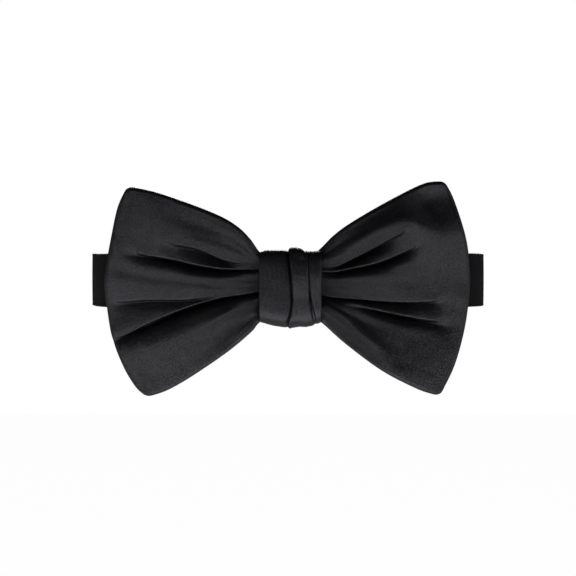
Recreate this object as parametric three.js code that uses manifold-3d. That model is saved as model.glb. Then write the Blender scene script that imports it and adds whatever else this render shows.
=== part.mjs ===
// A pre-tied butterfly bow tie on an adjustable neckband, as it sits when worn.
// Millimetres. X runs to the right, the bow faces -Y and Z is up. The origin is
// at the middle of the knot's back face, which lies against the collar stud.
import * as THREE from 'three';
import { mergeVertices } from 'three/addons/utils/BufferGeometryUtils.js';
import Module from 'manifold-3d';

const wasm = await Module();
wasm.setup();

// Clearances between touching pieces.
const GAP = 0.3;

// Neckband: a satin strip that runs round the collar and through the knot.
const BAND_WIDTH = 18.5;
const BAND_THICKNESS = 1.0;
const BAND_MID_Z = 1.5;
const LOOP_OUTER_RADIUS = 70.5;
const LOOP_RADIUS = LOOP_OUTER_RADIUS - BAND_THICKNESS / 2;
const LOOP_CENTRE_Y = LOOP_OUTER_RADIUS - 3.55;

// Clasp at the back: two wire frames of equal reach that hook together.
const CLASP_ANGLE = -158;
const CLASP_REACH = 7.5;
const WIRE_RADIUS = 0.8;
const WIRE_LIFT = BAND_THICKNESS / 2 + GAP + WIRE_RADIUS;
const FRAME_HALF_HEIGHT = BAND_WIDTH / 2 + 0.75 + WIRE_RADIUS;
const TONGUE_HEIGHT = 10;
const TONGUE_THICKNESS = 1.0;
const TONGUE_BEND = WIRE_RADIUS + 0.45 + TONGUE_THICKNESS / 2;

// Slide adjuster on the doubled part of the band.
const SLIDER_ANGLE = 150;
const SLIDER_LENGTH = 15;
const SLIDER_BAR_RADIUS = 0.6;
const SLIDER_RAIL = 1.6;
const SLIDER_BAR_LIFT = BAND_THICKNESS * 1.5 + 2 * GAP + SLIDER_BAR_RADIUS;

// Knot: three pleats of satin wrapped over a lining, round the gathered waists.
const WRAP_THICKNESS = 0.8;
const LINING_THICKNESS = 0.5;
const KNOT_HOLE = { back: -0.8, front: -12.5, bottom: -11.5, top: 11.8, corner: 1.6 };
const KNOT_PLEATS = [
  { from: -9.4, to: 0.9, front: -13.3, bottom: -12.3, top: 12.6 },
  { from: 0.4, to: 6.9, front: -14.1, bottom: -13.0, top: 13.3 },
  { from: 6.5, to: 10.9, front: -13.4, bottom: -12.4, top: 12.6 },
];
const SEAM_GROOVE = { x: 5.4, width: 3.0, depth: 0.5 };

// The two gathered waists of the bow, and the thread that binds them.
const WAIST_HALF_LENGTH = 10.2;
const WAIST_HALF_HEIGHT = 9.3;
const WAIST_THREAD = 0.5;
const WAIST_DEPTHS = {
  back_waist: [-7.45, -4.65],
  front_waist: [-10.6, -7.75],
};

// Wings: a front and a back bow, each of face, interlining and rear cloth.
const WING_ROOT_X = 12.4;
const ROOT_TOP = { left: 15.9, right: 14.6 };
const ROOT_BOTTOM = { left: -14.6, right: -12.6 };
const FACE_THICKNESS = 0.7;
const INTERLINING_THICKNESS = 0.8;
const BACK_BOW_SCALE = 0.96;
const BACK_BOW_FAN = 1.6;
const ROOT_FRONT_Y = -10.9;
const TIP_SETBACK = 2.4;
const PLEAT_DEPTH = 1.25;
const PLEAT_COUNT = 3;
const COLUMNS = 7;
const ROWS = 12;

// Wing outlines as seen from the front, in X and Z, from knot to tip.
const WINGS = {
  left: {
    top: [[-18.5, 21.3], [-26.4, 25.2], [-38.3, 29.5], [-48.5, 32.6]],
    upperTip: [-53.2, 32.9],
    outer: [[-56.1, 26.9], [-58.1, 17.3], [-60.1, 5.1], [-60.0, -2.0], [-58.1, -15.3], [-54.1, -25.9]],
    lowerTip: [-47.2, -35.1],
    bottom: [[-40.3, -33.5], [-32.3, -29.2], [-24.4, -24.3], [-17.5, -19.0]],
  },
  right: {
    top: [[17.2, 18.6], [25.1, 23.9], [35.0, 29.5], [44.9, 34.2]],
    upperTip: [51.6, 34.7],
    outer: [[54.8, 29.2], [58.0, 18.5], [59.9, 5.8], [59.6, -5.0], [56.8, -18.6], [53.4, -29.0]],
    lowerTip: [50.0, -34.8],
    bottom: [[42.9, -32.8], [35.0, -29.2], [27.1, -24.3], [19.1, -18.3]],
  },
};

const SATIN = { color: 0x2a2a2b, roughness: 0.42, metalness: 0 };
const BAND_SATIN = { color: 0x1a1b1d, roughness: 0.5, metalness: 0 };
const LINING = { color: 0x8c8a85, roughness: 0.95, metalness: 0 };
const THREAD = { color: 0x141416, roughness: 0.7, metalness: 0 };
const NICKEL = { color: 0xb8bac0, roughness: 0.3, metalness: 1 };

const bowTie = new THREE.Group();
bowTie.name = 'bow_tie';

function addNode(name, geometry, finish) {
  const mesh = new THREE.Mesh(geometry, new THREE.MeshStandardMaterial(finish));
  mesh.name = name;
  bowTie.add(mesh);
}

// Booleans ------------------------------------------------------------------

function toSolid(geometry) {
  const bare = geometry.clone();
  bare.deleteAttribute('normal');
  bare.deleteAttribute('uv');
  const merged = mergeVertices(bare, 1e-5);
  return new wasm.Manifold(new wasm.Mesh({
    numProp: 3,
    vertProperties: merged.attributes.position.array,
    triVerts: new Uint32Array(merged.index.array),
  }));
}

function toGeometry(solid) {
  const { vertProperties, triVerts } = solid.getMesh();
  const geometry = new THREE.BufferGeometry();
  geometry.setAttribute('position', new THREE.BufferAttribute(new Float32Array(vertProperties), 3));
  geometry.setIndex(new THREE.BufferAttribute(new Uint32Array(triVerts), 1));
  return geometry;
}

function joined(geometries) {
  return toGeometry(geometries.map(toSolid).reduce((sum, part) => sum.add(part)));
}

// Shapes --------------------------------------------------------------------

function roundedOutline(path, x0, y0, x1, y1, radius) {
  path.moveTo(x0 + radius, y0);
  path.lineTo(x1 - radius, y0);
  path.absarc(x1 - radius, y0 + radius, radius, -Math.PI / 2, 0);
  path.lineTo(x1, y1 - radius);
  path.absarc(x1 - radius, y1 - radius, radius, 0, Math.PI / 2);
  path.lineTo(x0 + radius, y1);
  path.absarc(x0 + radius, y1 - radius, radius, Math.PI / 2, Math.PI);
  path.lineTo(x0, y0 + radius);
  path.absarc(x0 + radius, y0 + radius, radius, Math.PI, Math.PI * 1.5);
  return path;
}

function extrudedUp(shape, low, high) {
  const geometry = new THREE.ExtrudeGeometry(shape, {
    depth: high - low,
    bevelEnabled: false,
    curveSegments: 4,
  });
  return geometry.translate(0, 0, low);
}

// An outline drawn in Y and Z, extruded along X.
function extrudedAcross(shape, from, to) {
  const turn = new THREE.Matrix4().makeBasis(
    new THREE.Vector3(0, 1, 0),
    new THREE.Vector3(0, 0, 1),
    new THREE.Vector3(1, 0, 0),
  );
  return extrudedUp(shape, from, to).applyMatrix4(turn);
}

// A sleeve round the X axis: an outer rounded outline with a rounded hole.
function sleeve(from, to, outer, hole) {
  const shape = roundedOutline(new THREE.Shape(), outer.front, outer.bottom, outer.back, outer.top, outer.corner);
  shape.holes.push(roundedOutline(new THREE.Path(), hole.front, hole.bottom, hole.back, hole.top, hole.corner));
  return extrudedAcross(shape, from, to);
}

function grown(outline, by) {
  return {
    back: outline.back + by,
    front: outline.front - by,
    bottom: outline.bottom - by,
    top: outline.top + by,
    corner: Math.max(outline.corner + by, 0.2),
  };
}

// A strip of even thickness that follows a centre line in X and Y.
function stripShape(points, thickness) {
  const sides = [[], []];
  points.forEach((point, i) => {
    const before = points[Math.max(i - 1, 0)];
    const after = points[Math.min(i + 1, points.length - 1)];
    const inward = point.clone().sub(before).normalize();
    const onward = after.clone().sub(point).normalize();
    const along = inward.clone().add(onward).normalize();
    const square = new THREE.Vector2(-along.y, along.x);
    const reference = inward.lengthSq() > 0 ? inward : onward;
    const mitre = thickness / 2 / Math.max(reference.dot(along), 0.5);
    sides[0].push(point.clone().addScaledVector(square, mitre));
    sides[1].push(point.clone().addScaledVector(square, -mitre));
  });
  return new THREE.Shape([...sides[0], ...sides[1].reverse()]);
}

function rod(from, to, radius) {
  const axis = to.clone().sub(from);
  const geometry = new THREE.CylinderGeometry(radius, radius, axis.length(), 8);
  const turn = new THREE.Quaternion().setFromUnitVectors(new THREE.Vector3(0, 1, 0), axis.normalize());
  const middle = from.clone().add(to).multiplyScalar(0.5);
  return geometry.applyQuaternion(turn).translate(middle.x, middle.y, middle.z);
}

// Places on the loop ---------------------------------------------------------

// A point at an angle round the loop from its front, and a height off the band.
function onLoop(degrees, lift) {
  const angle = THREE.MathUtils.degToRad(degrees);
  const radius = LOOP_RADIUS + lift;
  return new THREE.Vector2(radius * Math.sin(angle), LOOP_CENTRE_Y - radius * Math.cos(angle));
}

// A flat frame at a point on the loop: s along the band, n outward from it.
function frameAt(origin, along) {
  const outward = new THREE.Vector2(along.y, -along.x);
  if (outward.dot(origin.clone().sub(new THREE.Vector2(0, LOOP_CENTRE_Y))) < 0) {
    outward.negate();
  }
  return (s, n) => origin.clone().addScaledVector(along, s).addScaledVector(outward, n);
}

// Half a turn of the band round a bar, from one side of it to the other.
function fold(place, radius, fromSide) {
  const points = [];
  for (let i = 0; i <= 8; i += 1) {
    const angle = (Math.PI * i) / 8;
    points.push(place(radius * Math.sin(angle), fromSide * radius * Math.cos(angle)));
  }
  return points;
}

const degreesPerMm = 180 / (Math.PI * (LOOP_RADIUS + WIRE_LIFT));
const claspHalfAngle = THREE.MathUtils.radToDeg(Math.asin(CLASP_REACH / (LOOP_RADIUS + WIRE_LIFT)));
const hookAngle = CLASP_ANGLE + claspHalfAngle;
const ringAngle = CLASP_ANGLE + 360 - claspHalfAngle;
const hookPivot = onLoop(hookAngle, WIRE_LIFT);
const ringPivot = onLoop(ringAngle, WIRE_LIFT);
const hookToRing = ringPivot.clone().sub(hookPivot).normalize();
const atHook = frameAt(hookPivot, hookToRing);
const atRing = frameAt(ringPivot, hookToRing.clone().negate());
const sliderAlong = new THREE.Vector2(
  Math.cos(THREE.MathUtils.degToRad(SLIDER_ANGLE)),
  Math.sin(THREE.MathUtils.degToRad(SLIDER_ANGLE)),
);
const atSlider = frameAt(onLoop(SLIDER_ANGLE, 0), sliderAlong);
const bandBottom = BAND_MID_Z - BAND_WIDTH / 2;
const bandTop = BAND_MID_Z + BAND_WIDTH / 2;

// Knot ------------------------------------------------------------------------

function knotWrap() {
  const sleeves = KNOT_PLEATS.map((pleat) => toSolid(sleeve(
    pleat.from,
    pleat.to,
    { back: 0, front: pleat.front, bottom: pleat.bottom, top: pleat.top, corner: 2.4 },
    KNOT_HOLE,
  )));
  const whole = sleeves.reduce((sum, part) => sum.add(part));
  const groove = new THREE.BoxGeometry(SEAM_GROOVE.width, SEAM_GROOVE.depth * 2, 60);
  groove.translate(SEAM_GROOVE.x, 0, 0);
  return toGeometry(whole.subtract(toSolid(groove)));
}

// Hand stitches that close the wrap, as one zigzag of thread in the groove.
function zigzag(width, height, steps, thread) {
  const points = [];
  for (let i = 0; i <= steps; i += 1) {
    const side = i % 2 ? 1 : -1;
    points.push(new THREE.Vector2((side * width) / 2, -height / 2 + (height * i) / steps));
  }
  return stripShape(points, thread);
}

function laidInSeam(shape, thickness, front) {
  const geometry = extrudedUp(shape, 0, thickness).rotateX(Math.PI / 2);
  return geometry.translate(SEAM_GROOVE.x, front + thickness, 0);
}

addNode('knot_wrap', knotWrap(), SATIN);
addNode(
  'knot_interlining',
  sleeve(-9.0, 10.4, grown(KNOT_HOLE, -GAP), grown(KNOT_HOLE, -GAP - LINING_THICKNESS)),
  LINING,
);
addNode('knot_seam_thread', laidInSeam(zigzag(1.8, 19, 12, 0.45), 0.2, -0.2), THREAD);

function waist(depths) {
  const shape = roundedOutline(
    new THREE.Shape(),
    depths[0],
    -WAIST_HALF_HEIGHT,
    depths[1],
    WAIST_HALF_HEIGHT,
    1.2,
  );
  return extrudedAcross(shape, -WAIST_HALF_LENGTH, WAIST_HALF_LENGTH);
}

for (const [name, depths] of Object.entries(WAIST_DEPTHS)) {
  addNode(name, waist(depths), SATIN);
}

const bound = {
  back: WAIST_DEPTHS.back_waist[1] + GAP,
  front: WAIST_DEPTHS.front_waist[0] - GAP,
  bottom: -WAIST_HALF_HEIGHT - GAP,
  top: WAIST_HALF_HEIGHT + GAP,
  corner: 1.2,
};
addNode('waist_thread', sleeve(-1.6, 1.6, grown(bound, WAIST_THREAD), bound), THREAD);

// Neckband --------------------------------------------------------------------

function neckband() {
  const tail = [
    onLoop(hookAngle + 13 * degreesPerMm, BAND_THICKNESS + GAP + 0.1),
    onLoop(hookAngle + 8 * degreesPerMm, BAND_THICKNESS + GAP + 0.3),
    onLoop(hookAngle + 4 * degreesPerMm, 2.6),
  ];
  const points = [...tail, ...fold(atHook, WIRE_LIFT, 1)];
  const steps = 56;
  const start = hookAngle + 2;
  const end = ringAngle - 2;
  for (let i = 0; i <= steps; i += 1) {
    points.push(onLoop(start + ((end - start) * i) / steps, 0));
  }
  points.push(...fold(atRing, WIRE_LIFT, -1));
  return extrudedUp(stripShape(points, BAND_THICKNESS), bandBottom, bandTop);
}

// The doubled layer, from the ring's fold back to the slider's middle bar.
function bandReturn() {
  const top = 2 * WIRE_LIFT;
  const low = BAND_THICKNESS + GAP;
  const first = atRing(-GAP - 0.1, WIRE_LIFT);
  const span = ringAngle - SLIDER_ANGLE;
  const points = [first];
  for (let i = 1; i <= 12; i += 1) {
    const part = i / 12;
    const lift = low + (top - low) * Math.exp(-((part * span) ** 2) / 40);
    points.push(onLoop(ringAngle - span * part * 0.985, lift));
  }
  const aroundBar = frameAt(onLoop(SLIDER_ANGLE, SLIDER_BAR_LIFT), sliderAlong.clone().negate());
  points.push(...fold(aroundBar, SLIDER_BAR_LIFT - low, -1));
  points.push(atSlider(4.5, 3.2));
  points.push(atSlider(8, 2 * low));
  points.push(atSlider(11, 2 * low - 0.5));
  return extrudedUp(stripShape(points, BAND_THICKNESS), bandBottom, bandTop);
}

// A close zigzag across the band, through the hem under it.
function barTack(angle, lift) {
  const shape = zigzag(1.6, BAND_WIDTH - 4, 14, 0.5);
  const tack = extrudedUp(shape, 0, 0.35);
  const middle = onLoop(angle, lift);
  const radians = THREE.MathUtils.degToRad(angle);
  const along = new THREE.Vector3(Math.cos(radians), Math.sin(radians), 0);
  const up = new THREE.Vector3(0, 0, 1);
  const outward = new THREE.Vector3().crossVectors(along, up);
  tack.applyMatrix4(new THREE.Matrix4().makeBasis(along, up, outward));
  return tack.translate(middle.x, middle.y, BAND_MID_Z);
}

addNode('neckband', neckband(), BAND_SATIN);
addNode('band_return', bandReturn(), BAND_SATIN);
addNode('hook_hem_stitch', barTack(hookAngle + 10.5 * degreesPerMm, 2.5), THREAD);
addNode('slider_hem_stitch', barTack(SLIDER_ANGLE + 9 * degreesPerMm, 4.0), THREAD);

// Clasp -----------------------------------------------------------------------

function lifted(point, z) {
  return new THREE.Vector3(point.x, point.y, BAND_MID_Z + z);
}

// A rectangle of wire with rounded corners, from the pivot bar to a far bar.
function wireFrame(place, reach) {
  const corners = [
    lifted(place(0, 0), -FRAME_HALF_HEIGHT),
    lifted(place(reach, 0), -FRAME_HALF_HEIGHT),
    lifted(place(reach, 0), FRAME_HALF_HEIGHT),
    lifted(place(0, 0), FRAME_HALF_HEIGHT),
  ];
  const pieces = [];
  corners.forEach((corner, i) => {
    pieces.push(rod(corner, corners[(i + 1) % 4], WIRE_RADIUS));
    const ball = new THREE.SphereGeometry(WIRE_RADIUS, 8, 6);
    pieces.push(ball.translate(corner.x, corner.y, corner.z));
  });
  return pieces;
}

function hookTongue() {
  const points = [atHook(3.4, 0), atHook(4.0, -0.5), atHook(5.2, -TONGUE_BEND)];
  const round = (s, n) => atHook(CLASP_REACH + s, n);
  points.push(...fold(round, TONGUE_BEND, -1));
  points.push(atHook(CLASP_REACH - 2, TONGUE_BEND + 0.2));
  return extrudedUp(
    stripShape(points, TONGUE_THICKNESS),
    BAND_MID_Z - TONGUE_HEIGHT / 2,
    BAND_MID_Z + TONGUE_HEIGHT / 2,
  );
}

addNode('ring', joined(wireFrame(atRing, CLASP_REACH)), NICKEL);
addNode('hook', joined([...wireFrame(atHook, 3.4), hookTongue()]), NICKEL);

// Slider: end bars on the neck side, middle bar outside, joined by two rails.
function slider() {
  const half = SLIDER_LENGTH / 2;
  const endLift = -BAND_THICKNESS / 2 - 0.7 - SLIDER_BAR_RADIUS;
  const railZ = BAND_WIDTH / 2 + 0.6;
  const rail = new THREE.Shape([
    atSlider(-half, endLift - 0.6),
    atSlider(half, endLift - 0.6),
    atSlider(half, endLift + 0.9),
    atSlider(2.4, SLIDER_BAR_LIFT + 0.9),
    atSlider(-2.4, SLIDER_BAR_LIFT + 0.9),
    atSlider(-half, endLift + 0.9),
  ]);
  const pieces = [
    extrudedUp(rail, BAND_MID_Z + railZ, BAND_MID_Z + railZ + SLIDER_RAIL),
    extrudedUp(rail, BAND_MID_Z - railZ - SLIDER_RAIL, BAND_MID_Z - railZ),
  ];
  const reach = railZ + SLIDER_RAIL / 2;
  for (const [s, n] of [[1 - half, endLift], [half - 1, endLift], [0, SLIDER_BAR_LIFT]]) {
    pieces.push(rod(lifted(atSlider(s, n), -reach), lifted(atSlider(s, n), reach), SLIDER_BAR_RADIUS));
  }
  return joined(pieces);
}

addNode('slider', slider(), NICKEL);

// Wings -----------------------------------------------------------------------

function curveThrough(points) {
  const places = points.map(([x, z]) => new THREE.Vector3(x, 0, z));
  return new THREE.CatmullRomCurve3(places, false, 'centripetal');
}

// A surface patch between four border curves: u from knot to tip, v upward.
function wingPatch(side) {
  const outline = WINGS[side];
  const rootX = side === 'left' ? -WING_ROOT_X : WING_ROOT_X;
  const rootTop = [rootX, ROOT_TOP[side]];
  const rootBottom = [rootX, ROOT_BOTTOM[side]];
  const top = curveThrough([rootTop, ...outline.top, outline.upperTip]);
  const bottom = curveThrough([rootBottom, ...[...outline.bottom].reverse(), outline.lowerTip]);
  const outer = curveThrough([outline.lowerTip, ...[...outline.outer].reverse(), outline.upperTip]);
  const corner = (point) => new THREE.Vector3(point[0], 0, point[1]);
  return (u, v) => {
    const inner = corner(rootBottom).lerp(corner(rootTop), v);
    const across = bottom.getPointAt(u).lerp(top.getPointAt(u), v);
    const outward = inner.lerp(outer.getPointAt(v), u);
    const low = corner(rootBottom).lerp(corner(outline.lowerTip), u);
    const high = corner(rootTop).lerp(corner(outline.upperTip), u);
    return across.add(outward).sub(low.lerp(high, v));
  };
}

// Depth of the front cloth's face: pleats that fade from the knot to the tip.
function faceDepth(u, v) {
  const pleats = Math.cos(2 * Math.PI * PLEAT_COUNT * (v - 0.5)) * (1 - 0.45 * u);
  return ROOT_FRONT_Y + TIP_SETBACK * u - PLEAT_DEPTH * Math.sin(Math.PI * Math.min(u * 1.6, 1) / 2) * pleats;
}

function clothLayer(side, setback, thickness, bow) {
  const patch = wingPatch(side);
  const rootX = side === 'left' ? -WING_ROOT_X : WING_ROOT_X;
  const scale = bow === 'back' ? BACK_BOW_SCALE : 1;
  const fan = bow === 'back' ? BACK_BOW_FAN : 0;
  const positions = [];
  const indices = [];
  for (const depth of [setback, setback + thickness]) {
    for (let i = 0; i <= COLUMNS; i += 1) {
      for (let j = 0; j <= ROWS; j += 1) {
        const u = i / COLUMNS;
        const v = j / ROWS;
        const place = patch(u, v);
        const x = rootX + (place.x - rootX) * scale;
        positions.push(x, faceDepth(u, v) + depth + fan * u, place.z * scale);
      }
    }
  }
  const count = (COLUMNS + 1) * (ROWS + 1);
  const at = (i, j, layer) => layer * count + i * (ROWS + 1) + j;
  const quad = (a, b, c, d) => indices.push(a, b, c, a, c, d);
  for (let i = 0; i < COLUMNS; i += 1) {
    for (let j = 0; j < ROWS; j += 1) {
      quad(at(i, j, 0), at(i + 1, j, 0), at(i + 1, j + 1, 0), at(i, j + 1, 0));
      quad(at(i, j, 1), at(i, j + 1, 1), at(i + 1, j + 1, 1), at(i + 1, j, 1));
    }
    quad(at(i, 0, 1), at(i + 1, 0, 1), at(i + 1, 0, 0), at(i, 0, 0));
    quad(at(i, ROWS, 0), at(i + 1, ROWS, 0), at(i + 1, ROWS, 1), at(i, ROWS, 1));
  }
  for (let j = 0; j < ROWS; j += 1) {
    quad(at(0, j, 0), at(0, j + 1, 0), at(0, j + 1, 1), at(0, j, 1));
    quad(at(COLUMNS, j, 0), at(COLUMNS, j, 1), at(COLUMNS, j + 1, 1), at(COLUMNS, j + 1, 0));
  }
  if (side === 'left') {
    for (let i = 0; i < indices.length; i += 3) {
      [indices[i + 1], indices[i + 2]] = [indices[i + 2], indices[i + 1]];
    }
  }
  const geometry = new THREE.BufferGeometry();
  geometry.setAttribute('position', new THREE.Float32BufferAttribute(positions, 3));
  geometry.setIndex(indices);
  return geometry;
}

const layers = [
  ['face', FACE_THICKNESS, SATIN],
  ['interlining', INTERLINING_THICKNESS, LINING],
  ['rear', FACE_THICKNESS, SATIN],
];
for (const side of ['left', 'right']) {
  let setback = 0;
  for (const bow of ['front', 'back']) {
    for (const [layer, thickness, finish] of layers) {
      addNode(`${bow}_bow_${side}_${layer}`, clothLayer(side, setback, thickness, bow), finish);
      setback += thickness + GAP;
    }
  }
}

export default bowTie;
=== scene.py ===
"""Looks for the bow tie: sculpted satin wings, pleated knot, ribbon neckband and wire clasp.

Lengths are millimetres in the frame's own axes (X right, the bow faces -Y, Z up), and are turned
into metres when a mesh is made.
"""
import math

import bpy
import numpy as np
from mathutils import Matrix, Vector


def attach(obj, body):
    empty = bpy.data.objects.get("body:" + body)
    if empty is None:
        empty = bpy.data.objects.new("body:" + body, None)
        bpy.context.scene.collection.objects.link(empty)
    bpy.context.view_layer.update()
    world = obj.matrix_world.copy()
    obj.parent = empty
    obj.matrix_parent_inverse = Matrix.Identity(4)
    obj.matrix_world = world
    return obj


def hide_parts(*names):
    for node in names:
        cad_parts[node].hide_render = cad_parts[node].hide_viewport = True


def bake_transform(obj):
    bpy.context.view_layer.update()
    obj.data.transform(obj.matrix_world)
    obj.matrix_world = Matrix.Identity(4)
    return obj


MM = 0.001
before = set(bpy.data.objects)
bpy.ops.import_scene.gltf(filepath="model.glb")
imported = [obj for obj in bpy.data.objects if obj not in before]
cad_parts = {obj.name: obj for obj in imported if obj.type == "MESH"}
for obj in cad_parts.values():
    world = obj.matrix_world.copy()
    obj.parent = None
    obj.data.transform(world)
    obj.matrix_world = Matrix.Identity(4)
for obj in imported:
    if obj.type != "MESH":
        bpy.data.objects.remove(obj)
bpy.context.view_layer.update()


# ---- curves ----

def smooth_path(points, count):
    """count rows evenly spaced along a smooth curve through points, of any number of columns.
    Spacing is measured on the first two columns."""
    p = np.array(points, float)
    p = np.vstack([2 * p[0] - p[1], p, 2 * p[-1] - p[-2]])
    rows = []
    for a, b, c, d in zip(p[:-3], p[1:-2], p[2:-1], p[3:]):
        for t in np.linspace(0, 1, 24, endpoint=False):
            rows.append(0.5 * (2 * b + (c - a) * t + (2 * a - 5 * b + 4 * c - d) * t * t
                               + (3 * b - a - 3 * c + d) * t ** 3))
    rows.append(p[-2])
    rows = np.array(rows)
    steps = np.hypot(*np.diff(rows[:, :2], axis=0).T)
    along = np.concatenate([[0], np.cumsum(steps)])
    want = np.linspace(0, along[-1], count)
    return np.column_stack([np.interp(want, along, column) for column in rows.T])


def smoothstep(low, high, value):
    """Rises smoothly from 0 at low to 1 at high, which may be the smaller of the two."""
    t = np.clip((value - low) / (high - low), 0, 1)
    return t * t * (3 - 2 * t)


def squared_off(value, power):
    """A sine or cosine raised to a power with its sign kept, which makes an oval boxy."""
    return np.sign(value) * np.abs(value) ** power


def unit(vectors):
    return vectors / np.linalg.norm(vectors, axis=1)[:, None]


def normals(line):
    """Unit vectors square to a flat line, to its left."""
    step = unit(np.gradient(line, axis=0))
    return np.column_stack([-step[:, 1], step[:, 0]])


# ---- meshes ----

def make_mesh(name, vertices, faces):
    mesh = bpy.data.meshes.new(name)
    mesh.from_pydata([tuple(v) for v in np.asarray(vertices, float) * MM], [], faces)
    mesh.polygons.foreach_set("use_smooth", [True] * len(mesh.polygons))
    mesh.update()
    obj = bpy.data.objects.new(name, mesh)
    bpy.context.scene.collection.objects.link(obj)
    return obj


def grid_faces(rows, columns, flip=False, wrap_rows=False, wrap_columns=False):
    """The quads of a grid of vertices. A wrap joins its last row or column to its first."""
    faces = []
    for i in range(rows if wrap_rows else rows - 1):
        for j in range(columns if wrap_columns else columns - 1):
            k = (i + 1) % rows
            m = (j + 1) % columns
            quad = [i * columns + j, k * columns + j, k * columns + m, i * columns + m]
            faces.append(quad[::-1] if flip else quad)
    return faces


def set_uv(obj, uv):
    """One UV pair for each vertex, in millimetres of cloth."""
    layer = obj.data.uv_layers.new(name="UVMap")
    index = np.empty(len(obj.data.loops), int)
    obj.data.loops.foreach_get("vertex_index", index)
    layer.data.foreach_set("uv", np.asarray(uv, float)[index].ravel())


def thicken(obj, thickness):
    """Gives a sheet its thickness, half to each side."""
    modifier = obj.modifiers.new("thickness", "SOLIDIFY")
    modifier.thickness = thickness * MM
    modifier.offset = 0
    modifier.use_rim = True
    depsgraph = bpy.context.evaluated_depsgraph_get()
    mesh = bpy.data.meshes.new_from_object(obj.evaluated_get(depsgraph))
    obj.modifiers.clear()
    obj.data = mesh


def end_caps(rows, columns):
    """The two faces that close the ends of a grid wrapped round its columns."""
    first = list(range(columns))
    return [first, [(rows - 1) * columns + k for k in reversed(first)]]


def sweep(path, section, closed_path=False, up=(0, 0, 1)):
    """Vertices and faces of a section swept along a path, with caps on the ends of an open one. The
    section is (sideways, upward) pairs, sideways being across the path and square to up."""
    path = np.asarray(path, float)
    if closed_path:
        ahead, behind = np.roll(path, -1, 0), np.roll(path, 1, 0)
    else:
        ahead = np.vstack([path[1:], 2 * path[-1] - path[-2]])
        behind = np.vstack([2 * path[0] - path[1], path[:-1]])
    along = unit(ahead - behind)
    side = unit(np.cross(along, np.array(up, float)))
    top = np.cross(side, along)
    s = np.asarray(section, float)[None]
    vertices = path[:, None] + side[:, None] * s[..., :1] + top[:, None] * s[..., 1:]
    count = len(section)
    faces = grid_faces(len(path), count, wrap_rows=closed_path, wrap_columns=True)
    if not closed_path:
        faces += end_caps(len(path), count)
    return vertices.reshape(-1, 3), faces


def circle(radius, count):
    angles = np.linspace(0, 2 * math.pi, count, endpoint=False)
    return radius * np.column_stack([np.cos(angles), np.sin(angles)])


def rounded_section(width, height, corner):
    """A rectangle with rounded corners, as (sideways, upward) pairs, five for each corner."""
    points = []
    for k, (sx, sz) in enumerate([(1, 1), (-1, 1), (-1, -1), (1, -1)]):
        for t in np.linspace(0, math.pi / 2, 5):
            angle = t + k * math.pi / 2
            points.append((sx * (width / 2 - corner) + corner * math.cos(angle),
                           sz * (height / 2 - corner) + corner * math.sin(angle)))
    return np.array(points)


def joined(name, parts):
    """One mesh of several (vertices, faces) parts."""
    vertices, faces, start = [], [], 0
    for v, f in parts:
        vertices.append(v)
        faces += [[start + i for i in face] for face in f]
        start += len(v)
    return make_mesh(name, np.vstack(vertices), faces)


# ---- materials ----

def new_material(name):
    material = bpy.data.materials.new(name)
    material.use_nodes = True
    return material, material.node_tree.nodes["Principled BSDF"]


def set_inputs(node, inputs):
    """Sets each named input of a node to a value, or links it if it is given an output."""
    for name, value in inputs.items():
        if isinstance(value, bpy.types.NodeSocket):
            node.id_data.links.new(value, node.inputs[name])
        else:
            node.inputs[name].default_value = value


def add_node(material, kind, inputs, output=0):
    """Adds a shader node and returns the output asked for, by number or name."""
    node = material.node_tree.nodes.new("ShaderNode" + kind)
    set_inputs(node, inputs)
    return node.outputs[output]


def multiply_add(material, value, factor, addend):
    total = add_node(material, "Math", {0: value, 1: factor, 2: addend})
    total.node.operation = "MULTIPLY_ADD"
    return total


def bands(material, place, direction, scale, distortion, detail_scale=1.0):
    """Wavy lines that change along one axis."""
    lines = add_node(material, "TexWave", {
        "Vector": place, "Scale": scale, "Distortion": distortion,
        "Detail": 2.0, "Detail Scale": detail_scale}, "Fac")
    lines.node.bands_direction = direction
    return lines


def ramp(material, value, low, high, low_at=0.0, high_at=1.0):
    """A colour that goes from low to high as the value goes from low_at to high_at."""
    colour = add_node(material, "ValToRGB", {"Fac": value}, "Color")
    elements = colour.node.color_ramp.elements
    for element, tint, position in zip(elements, (low, high), (low_at, high_at)):
        element.position = position
        element.color = (*tint, 1)
    return colour


def noise(material, place, scale, detail, roughness=0.5):
    return add_node(material, "TexNoise", {
        "Vector": place, "Scale": scale, "Detail": detail, "Roughness": roughness})


def bump(material, height, depth):
    """Surface relief of the given depth in millimetres."""
    return add_node(material, "Bump", {"Distance": depth * MM, "Height": height})


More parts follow.
